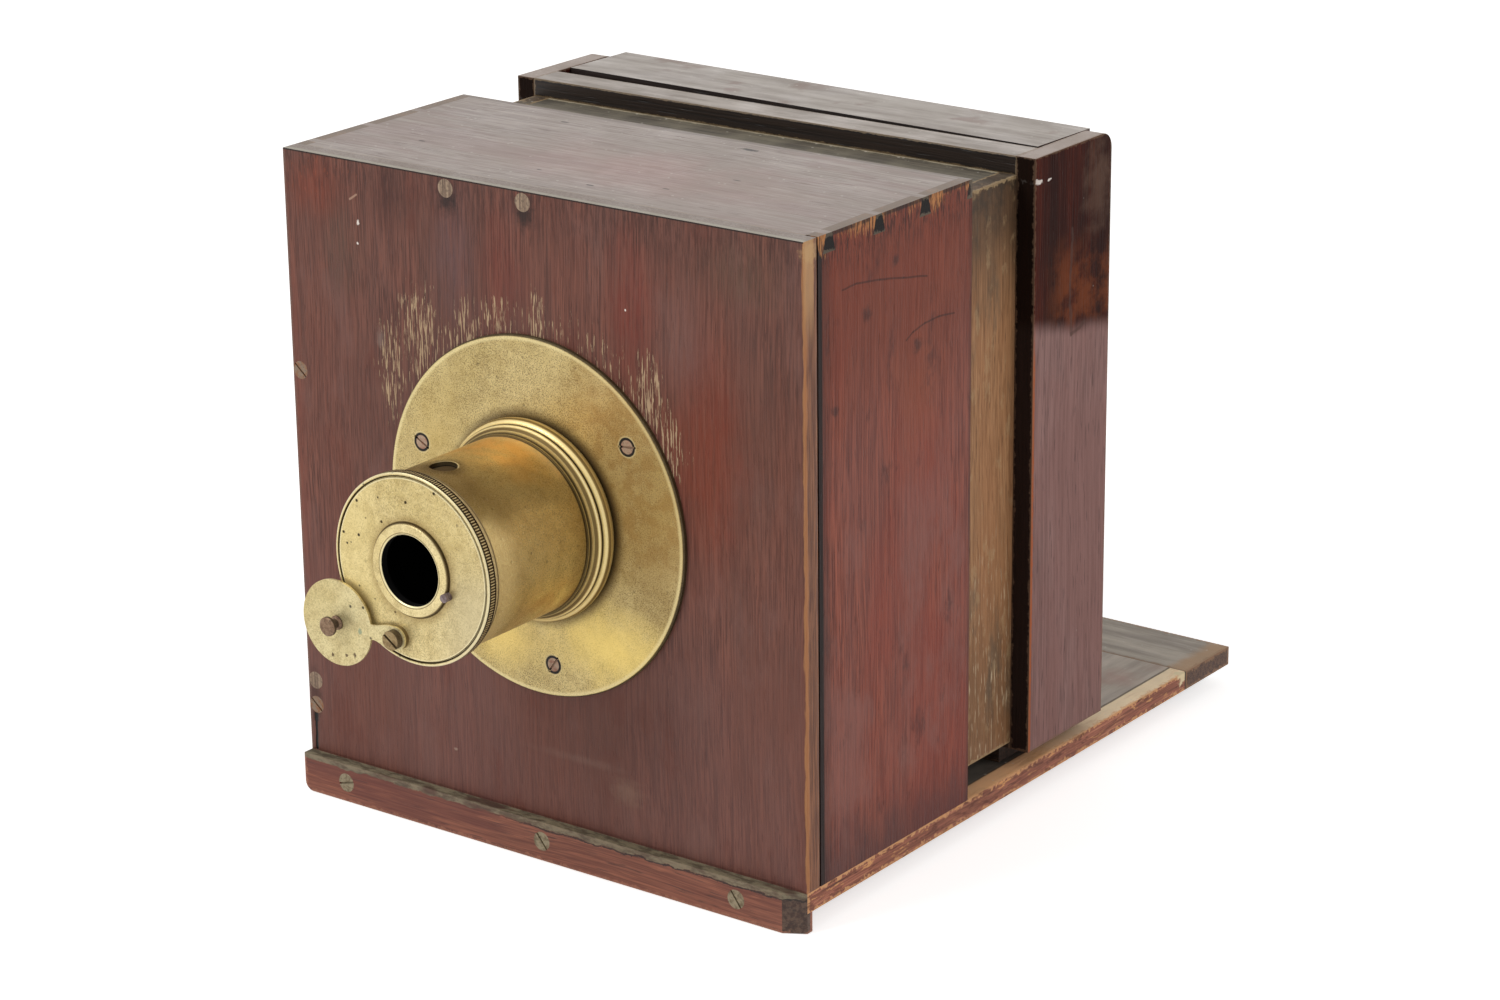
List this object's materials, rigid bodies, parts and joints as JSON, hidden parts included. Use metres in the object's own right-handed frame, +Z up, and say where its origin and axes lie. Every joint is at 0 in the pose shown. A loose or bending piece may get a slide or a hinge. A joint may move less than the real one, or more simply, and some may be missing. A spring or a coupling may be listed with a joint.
{
  "type": "sliding box camera",
  "caption": "Wooden sliding box camera on a baseboard: a rear box slides in the front box for focusing, with a brass lens, a pivoting disc shutter and a removable ground glass back.",
  "frame": {"origin": "on the level the camera stands on, on the centre line, below the front board's face", "axes": "+Y from the lens towards the back, along the lens axis; +Z up; +X to the right when looking at the lens from in front"},
  "size_m": [0.2668, 0.4136, 0.2805],
  "materials": {
    "base_wood": "worn varnished mahogany",
    "cleat_wood": "worn varnished mahogany with bare end grain",
    "batten_wood": "worn varnished mahogany",
    "foot_wood": "plain mahogany",
    "front_wood": "aged purple brown mahogany, scratched",
    "outer_top_wood": "faded, dusty mahogany",
    "outer_side_wood": "aged mahogany",
    "plug_wood": "filler in the wood's colour",
    "inner_top_wood": "faded mahogany, dusty",
    "inner_side_wood": "yellowish brown, unpolished",
    "rail_wood": "black stained, worn",
    "runner_wood": "plain mahogany",
    "cheek_wood": "dark polished mahogany, rubbed bare at the edges",
    "back_wood": "dark stained, dusty on top",
    "bead_wood": "plain mahogany",
    "screen_glass": "finely ground",
    "flange_brass": "aged, scratched",
    "barrel_brass": "aged, turned",
    "cell_brass": "darkened",
    "cap_brass": "aged, paler than the barrel",
    "disc_brass": "aged, rubbed",
    "clamp_brass": "aged",
    "screw_metal": "browned with age",
    "lens_glass": "polished"
  },
  "bodies": {
    "camera": {"base_board": "base_wood", "base_end_cleat": "cleat_wood", "front_batten": "batten_wood", "batten_screws": "screw_metal", "front_foot": "foot_wood", "rear_foot": "foot_wood", "foot_screws": "screw_metal", "front_board": "front_wood", "outer_top": "outer_top_wood", "outer_bottom": "outer_side_wood", "outer_left_side": "outer_side_wood", "outer_right_side": "outer_side_wood", "front_board_screws": "screw_metal", "front_board_plugs": "plug_wood", "base_screws": "screw_metal", "lens_flange": "flange_brass", "flange_screws": "screw_metal", "lens_barrel": "barrel_brass", "lens_cell": "cell_brass", "front_element": "lens_glass", "rear_element": "lens_glass", "lens_retaining_ring": "cell_brass"},
    "front_cap": {"front_cap": "cap_brass", "aperture_ring": "cap_brass", "stop_lug": "screw_metal", "pivot_screw": "screw_metal", "pivot_washer": "cap_brass"},
    "shutter": {"shutter_disc": "disc_brass", "shutter_knob": "screw_metal"},
    "rear_box": {"inner_top": "inner_top_wood", "inner_bottom": "inner_top_wood", "inner_left_side": "inner_side_wood", "inner_right_side": "inner_side_wood", "collar_top_rail": "rail_wood", "runner_board": "runner_wood", "left_cheek": "cheek_wood", "right_cheek": "cheek_wood", "clamp_bracket": "clamp_brass", "bracket_screws": "screw_metal", "clamp_nut": "clamp_brass"},
    "clamp_screw": {"clamp_screw": "clamp_brass"},
    "back": {"back_top_rail": "back_wood", "back_bottom_rail": "back_wood", "back_left_stile": "back_wood", "back_right_stile": "back_wood", "ground_glass": "screen_glass", "screen_stops": "bead_wood", "screen_beads": "bead_wood"}
  },
  "joints": [
    {"name": "focus_slide", "type": "slide", "parent": "camera", "child": "rear_box", "axis": [0, 1, 0], "range_m": [-0.04, 0.048]},
    {"name": "back_slide", "type": "slide", "parent": "rear_box", "child": "back", "axis": [0, 1, 0], "range_m": [-0.0015, 0.045]},
    {"name": "clamp_turn", "type": "hinge", "parent": "rear_box", "child": "clamp_screw", "pos_m": [0, 0.232, 0.0221], "axis": [0, 0, 1], "range_deg": [0, 360]},
    {"name": "cap_unscrew", "type": "hinge", "parent": "camera", "child": "front_cap", "pos_m": [-0.0013, -0.0584, 0.14745], "axis": [0, -1, 0], "range_deg": [0, 720]},
    {"name": "shutter_swing", "type": "hinge", "parent": "front_cap", "child": "shutter", "pos_m": [-0.00881, -0.0783, 0.11841], "axis": [0, 1, 0], "range_deg": [-186, 104]}
  ]
}
